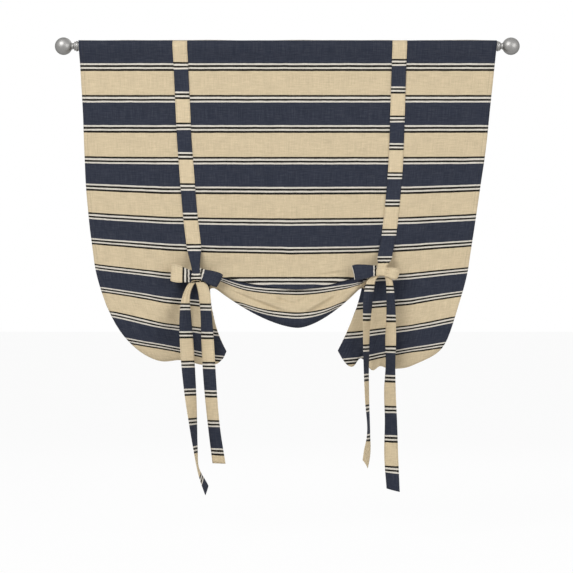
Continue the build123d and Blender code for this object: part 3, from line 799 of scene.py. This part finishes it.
def striped_cloth(name, cloth, hem_across, hem_rows, tone):
    """Woven cloth with cross stripes from the piece's UV map, in metres of cloth.

    The repeat is navy, a group of narrow lines, tan, and the group again. Threads run
    both ways: long slubs along each, a fine grain over both, and slow blotches.
    Stitches are short dimples along the hems, darkened in colour with painted shade.
    """
    made = Finish(name)
    place = made.node("ShaderNodeUVMap", {"uv_map": "Cloth"})
    split = {"Vector": place}
    across = made.node("ShaderNodeSeparateXYZ", {}, split, output=0)
    down = made.node("ShaderNodeSeparateXYZ", {}, split, output=1)

    def noise(scale_across, scale_down, detail, roughness=0.5):
        scaled = {0: across * scale_across, 1: down * scale_down, 2: 0.0}
        spread = made.node("ShaderNodeCombineXYZ", {}, scaled)
        return made.node("ShaderNodeTexNoise", {"noise_dimensions": "2D"},
                         {"Vector": spread, "Scale": 1.0, "Detail": detail, "Roughness": roughness})

    weft = noise(30, 420, 4.0, 0.65)
    warp = noise(460, 22, 4.0, 0.65)
    grain = noise(520, 520, 2.0, 0.7)
    blotch = noise(28, 34, 3.0)

    group = ((cloth.ivory, cloth.ivory_line), (cloth.dark, cloth.dark_line)) * 2
    repeat = cloth.navy_stripe + cloth.tan_stripe + 4 * (cloth.ivory_line + cloth.dark_line)
    wavy = down + (weft - 0.5) * 0.0009 + (blotch - 0.5) * 0.0012
    along = (wavy / repeat).fraction()
    edge, stops = 0.0, []
    order = ((cloth.navy, cloth.navy_stripe), *group, (cloth.tan, cloth.tan_stripe), *group[::-1])
    for colour, height in order:
        stops.append((edge / repeat, tuple(colour)))
        edge += height
    stripes = made.node("ShaderNodeValToRGB", {"interpolation": "CONSTANT", "stops": stops}, {0: along})

    # tone scales the whole cloth's colour; above 1, as on the straps, it is painted light
    thread = tone + (weft - 0.5) * 0.42 + (warp - 0.5) * 0.38
    thread = thread + (grain - 0.5) * 0.34 + (blotch - 0.5) * 0.16
    shade = made.node("ShaderNodeCombineColor", {}, {0: thread, 1: thread, 2: thread})
    colour = made.mixed(1.0, stripes, shade, "MULTIPLY")
    fleck = (weft * warp * 4.0 + (grain - 0.5) * 0.6 - 0.75).at_least(0.0) * 0.03
    colour = made.mixed(fleck, colour, FLECK_COLOUR)

    def stitches(distance, run):
        """Stitches along a line: near it, and in the first part of each length."""
        near = abs(distance) < STITCH_HALF_WIDTH
        return near * ((run / STITCH_LENGTH).fraction() < STITCH_SHARE)

    dimples_and_painted_shade = stitches(abs(across) - hem_across, down)
    for row in hem_rows:
        dimples_and_painted_shade = dimples_and_painted_shade.at_least(stitches(down - row, across))
    # Painted shade: the colour darkens along the stitches' dimples, which the bump below also sinks
    colour = made.mixed(dimples_and_painted_shade * 0.3, colour, STITCH_PAINTED_SHADE)
    weave = (weft + warp) * 0.5 + grain * 0.6 - dimples_and_painted_shade * 1.5
    bump = made.node("ShaderNodeBump", {}, {"Strength": 0.35, "Distance": 0.0006, "Height": weave})
    return made.surface(Base_Color=colour, Roughness=0.82 + (grain - 0.5) * 0.2, Normal=bump,
                        Sheen_Weight=0.03, Sheen_Roughness=0.4, Specular_IOR_Level=0.08)


def satin_nickel(name, rod):
    """Brushed metal: fine scratches round the axis, slow cloudiness and a soft shine."""
    made = Finish(name)
    place = made.node("ShaderNodeTexCoord", {}, output=3)
    stretched = made.node("ShaderNodeMapping", {}, {"Vector": place, "Scale": (2600.0, 90.0, 90.0)})
    brushed = made.node("ShaderNodeTexNoise", {}, {"Vector": stretched, "Scale": 1.0, "Detail": 3.0})
    cloud = made.node("ShaderNodeTexNoise", {}, {"Vector": place, "Scale": 120.0, "Detail": 2.0})
    tone = 0.92 + (brushed - 0.5) * 0.12 + (cloud - 0.5) * 0.18
    shade = made.node("ShaderNodeCombineColor", {}, {0: tone, 1: tone, 2: tone})
    colour = made.mixed(1.0, (*rod.metal, 1.0), shade, "MULTIPLY")
    bump = made.node("ShaderNodeBump", {}, {"Strength": 0.12, "Distance": 0.0003, "Height": brushed})
    rough = rod.metal_roughness + (brushed - 0.5) * 0.12 + (cloud - 0.5) * 0.10
    return made.surface(Base_Color=colour, Metallic=1.0, Roughness=rough, Normal=bump,
                        Specular_Tint=(0.35, 0.35, 0.35, 1.0))


def zinc_plate(name):
    """Plated steel with a faint crystal pattern."""
    made = Finish(name)
    place = made.node("ShaderNodeTexCoord", {}, output=3)
    crystal = made.node("ShaderNodeTexNoise", {}, {"Vector": place, "Scale": 700.0, "Detail": 2.0})
    tone = 0.5 + (crystal - 0.5) * 0.2
    colour = made.node("ShaderNodeCombineColor", {}, {0: tone, 1: tone, 2: tone * 1.03})
    return made.surface(Base_Color=colour, Metallic=1.0, Roughness=0.35 + (crystal - 0.5) * 0.2)


def moulded_nylon(name):
    """Black nylon with a fine moulded grain."""
    made = Finish(name)
    place = made.node("ShaderNodeTexCoord", {}, output=3)
    grain = made.node("ShaderNodeTexNoise", {}, {"Vector": place, "Scale": 1500.0, "Detail": 2.0})
    tone = 0.05 + (grain - 0.5) * 0.02
    colour = made.node("ShaderNodeCombineColor", {}, {0: tone, 1: tone, 2: tone})
    bump = made.node("ShaderNodeBump", {}, {"Strength": 0.2, "Distance": 0.0002, "Height": grain})
    return made.surface(Base_Color=colour, Roughness=0.55 + (grain - 0.5) * 0.1, Normal=bump)


class CurtainCloth(bpy.types.PropertyGroup):
    """Sizes and colours of the cloth."""

    navy_stripe: FloatProperty(
        name="Navy stripe", description="Height of a wide navy stripe",
        default=0.0631, unit="LENGTH")
    tan_stripe: FloatProperty(
        name="Tan stripe", description="Height of a wide tan stripe", default=0.0665, unit="LENGTH")
    ivory_line: FloatProperty(
        name="Ivory line", description="Height of one narrow ivory line",
        default=0.0048, unit="LENGTH")
    dark_line: FloatProperty(
        name="Dark line", description="Height of one narrow dark line",
        default=0.00593, unit="LENGTH")
    navy: FloatVectorProperty(
        name="Navy", description="Colour of the dark wide stripes",
        default=(0.027, 0.032, 0.049), subtype="COLOR")
    tan: FloatVectorProperty(
        name="Tan", description="Colour of the pale wide stripes",
        default=(0.600, 0.492, 0.326), subtype="COLOR")
    ivory: FloatVectorProperty(
        name="Ivory", description="Colour of the pale narrow lines",
        default=(0.64, 0.60, 0.53), subtype="COLOR")
    dark: FloatVectorProperty(
        name="Dark", description="Colour of the dark narrow lines",
        default=(0.013, 0.012, 0.010), subtype="COLOR")
    thickness: FloatProperty(
        name="Thickness", description="Thickness of the cloth", default=0.0008, unit="LENGTH")
    width: FloatProperty(
        name="Cut width", description="Width of the cloth laid flat", default=1.168, unit="LENGTH")
    length: FloatProperty(
        name="Cut length", description="Length of the cloth laid flat", default=1.12, unit="LENGTH")


class CurtainTies(bpy.types.PropertyGroup):
    """Sizes of the straps."""

    width: FloatProperty(
        name="Strap width", description="Width of a strap", default=0.041, unit="LENGTH")
    thickness: FloatProperty(
        name="Strap thickness", description="Thickness of a strap, two layers of cloth",
        default=0.0011, unit="LENGTH")
    left_front: FloatProperty(
        name="Left front strap", description="Cut length", default=1.36, unit="LENGTH")
    left_back: FloatProperty(
        name="Left back strap", description="Cut length", default=1.55, unit="LENGTH")
    right_front: FloatProperty(
        name="Right front strap", description="Cut length", default=1.40, unit="LENGTH")
    right_back: FloatProperty(
        name="Right back strap", description="Cut length", default=1.49, unit="LENGTH")


class CurtainRod(bpy.types.PropertyGroup):
    """Finish of the rod."""

    metal: FloatVectorProperty(
        name="Metal", description="Colour of the rod and its finials",
        default=(0.335, 0.33, 0.32), subtype="COLOR")
    metal_roughness: FloatProperty(
        name="Roughness", description="Roughness of the metal",
        default=0.44, subtype="FACTOR", min=0, max=1)


class CURTAIN_OT_panel(bpy.types.Operator):
    """Hang the cloth panel on the rod"""

    bl_idname = "curtain.panel"
    bl_label = "Cloth panel"

    def execute(self, context):
        cloth = context.scene.curtain_cloth
        seam = (POCKET_SEAM + CROWN) * MM
        material = striped_cloth("panel_cloth", cloth, cloth.width / 2 - PANEL_HEM, (seam,), 1.0)
        panel = make_piece("panel", [panel_grid()], material, cloth.thickness)
        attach(panel, "root")
        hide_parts("curtain_panel")
        return {"FINISHED"}


class CURTAIN_OT_ties(bpy.types.Operator):
    """Tie the straps in bows"""

    bl_idname = "curtain.ties"
    bl_label = "Straps and bows"

    def execute(self, context):
        cloth, ties = context.scene.curtain_cloth, context.scene.curtain_ties
        # The straps' cloth is painted brighter than the panel's: painted light on the same cloth
        material = striped_cloth("strap_cloth", cloth, ties.width / 2 - STRAP_HEM, (), STRAP_PAINTED_LIGHT)
        for side, name in ((-1, "left"), (1, "right")):
            for layer, strap in (("front", front_strap), ("back", back_strap)):
                sheets = [strap(side), bow_loop(side, layer), loose_end(side, layer)]
                tie = make_piece(f"{layer}_strap_{name}", sheets, material, ties.thickness)
                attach(tie, "root")
                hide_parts(f"{layer}_tie_{name}")
                length = getattr(ties, f"{name}_{layer}")
        return {"FINISHED"}


class CURTAIN_OT_rod(bpy.types.Operator):
    """Finish the rod and turn its finials"""

    bl_idname = "curtain.rod"
    bl_label = "Rod and finials"

    def execute(self, context):
        metal = satin_nickel("satin_nickel", context.scene.curtain_rod)
        end_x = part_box("rod_tube")[1].x / MM
        turned = [lathe(finial_profile(), side, end_x) for side in (-1, 1)]
        finials = make_piece("finials", turned, metal, weld=True)
        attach(finials, "root")
        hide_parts("rod_finials")
        for node, material in (("rod_tube", metal), ("finial_studs", zinc_plate("zinc_plate")),
                               ("rod_plugs", moulded_nylon("moulded_nylon"))):
            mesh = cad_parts[node].data
            mesh.materials.clear()
            mesh.materials.append(material)
        return {"FINISHED"}


# Stage, in metres: the floor's reach and its drop under the part, how white the camera sees
# it, the light from all round, and each lamp's name, place, size and power
FLOOR_REACH = 30.0
FLOOR_DROP = 0.12
FLOOR_WHITE = 0.94
SKY_LIGHT = 0.30
LAMPS = (
    ("key", (-2.0, -2.8, 1.9), 2.3, 102.0),
    ("fill", (2.6, -2.8, 0.4), 2.4, 50.0),
    ("back", (0.6, 2.6, 1.2), 2.0, 30.0),
)
LAMP_TARGET = (0.0, 0.0, -0.55)
# Camera: the width that it takes in at the curtain, its lens and sensor in millimetres, and
# its place across and up
VIEW_WIDTH = 1.597524
CAMERA_LENS = 150.0
CAMERA_SENSOR = 36.0
CAMERA_X = -0.0022
CAMERA_Z = -0.670


class CURTAIN_OT_stage(bpy.types.Operator):
    """Add a pale floor, soft light and a camera in front"""

    bl_idname = "curtain.stage"
    bl_label = "Stage"

    def execute(self, context):
        scene = context.scene
        scene.view_settings.view_transform = "Standard"
        mesh = bpy.data.meshes.new("floor")
        reach, level = FLOOR_REACH, CAD_BOX[0][2] - FLOOR_DROP
        turns = ((-1, -1), (1, -1), (1, 1), (-1, 1))
        corners = [(x * reach, y * reach, level) for x, y in turns]
        mesh.from_pydata(corners, [], [(0, 1, 2, 3)])
        floor = bpy.data.objects.new("floor", mesh)
        scene.collection.objects.link(floor)
        pale = Finish("pale_floor")
        pale.surface(Base_Color=(0.9, 0.9, 0.9, 1.0), Roughness=0.9)
        glow = pale.node("ShaderNodeEmission", {}, {"Color": (1.0, 1.0, 1.0, 1.0), "Strength": 1.0})
        lit = Value(pale, pale.shader.outputs[0])
        surface = pale.node("ShaderNodeMixShader", {}, {0: pale.seen() * FLOOR_WHITE, 1: lit, 2: glow})
        pale.feed(pale.tree.nodes["Material Output"].inputs["Surface"], surface)
        mesh.materials.append(pale.material)

        world = bpy.data.worlds.new("soft_light")
        world.use_nodes = True
        scene.world = world
        sky = Nodes(world.node_tree)
        background = sky.tree.nodes["Background"]
        sky.feed(background.inputs["Color"], (1.0, 1.0, 1.0, 1.0))
        sky.feed(background.inputs["Strength"], SKY_LIGHT + sky.seen() * (1 - SKY_LIGHT))

        for name, place, size, power in LAMPS:
            lamp = bpy.data.lights.new(name, "AREA")
            lamp.size, lamp.energy = size, power
            lamp_object = bpy.data.objects.new(name, lamp)
            lamp_object.location = place
            aim = Vector(LAMP_TARGET) - Vector(place)
            lamp_object.rotation_mode = "QUATERNION"
            lamp_object.rotation_quaternion = aim.to_track_quat("-Z", "Y")
            scene.collection.objects.link(lamp_object)

        camera = bpy.data.cameras.new("camera")
        camera.lens, camera.sensor_width = CAMERA_LENS, CAMERA_SENSOR
        view = bpy.data.objects.new("camera", camera)
        view.location = (CAMERA_X, -VIEW_WIDTH * CAMERA_LENS / CAMERA_SENSOR, CAMERA_Z)
        view.rotation_euler = (math.pi / 2, 0, 0)
        camera.clip_end = 100
        scene.collection.objects.link(view)
        scene.camera = view
        return {"FINISHED"}


class CURTAIN_PT_build(bpy.types.Panel):
    """Buttons and sizes for the curtain"""

    bl_idname = "CURTAIN_PT_build"
    bl_label = "Tie-up curtain"
    bl_space_type = "VIEW_3D"
    bl_region_type = "UI"
    bl_category = "Curtain"

    def draw(self, context):
        for operator in OPERATORS:
            self.layout.operator(operator.bl_idname)
        for group in GROUPS:
            settings = getattr(context.scene, group)
            box = self.layout.box()
            for name in settings.__annotations__:
                box.prop(settings, name)


GROUPS = {"curtain_cloth": CurtainCloth, "curtain_ties": CurtainTies, "curtain_rod": CurtainRod}
OPERATORS = (CURTAIN_OT_panel, CURTAIN_OT_ties, CURTAIN_OT_rod, CURTAIN_OT_stage)


def register():
    for group, kind in GROUPS.items():
        bpy.utils.register_class(kind)
        setattr(bpy.types.Scene, group, PointerProperty(type=kind))
    for kind in (*OPERATORS, CURTAIN_PT_build):
        bpy.utils.register_class(kind)


def unregister():
    for kind in (CURTAIN_PT_build, *reversed(OPERATORS)):
        bpy.utils.unregister_class(kind)
    for group, kind in GROUPS.items():
        delattr(bpy.types.Scene, group)
        bpy.utils.unregister_class(kind)


def main():
    register()
    bpy.ops.curtain.panel()
    bpy.ops.curtain.ties()
    bpy.ops.curtain.rod()
    bpy.ops.curtain.stage()


if __name__ == "__main__":
    main()
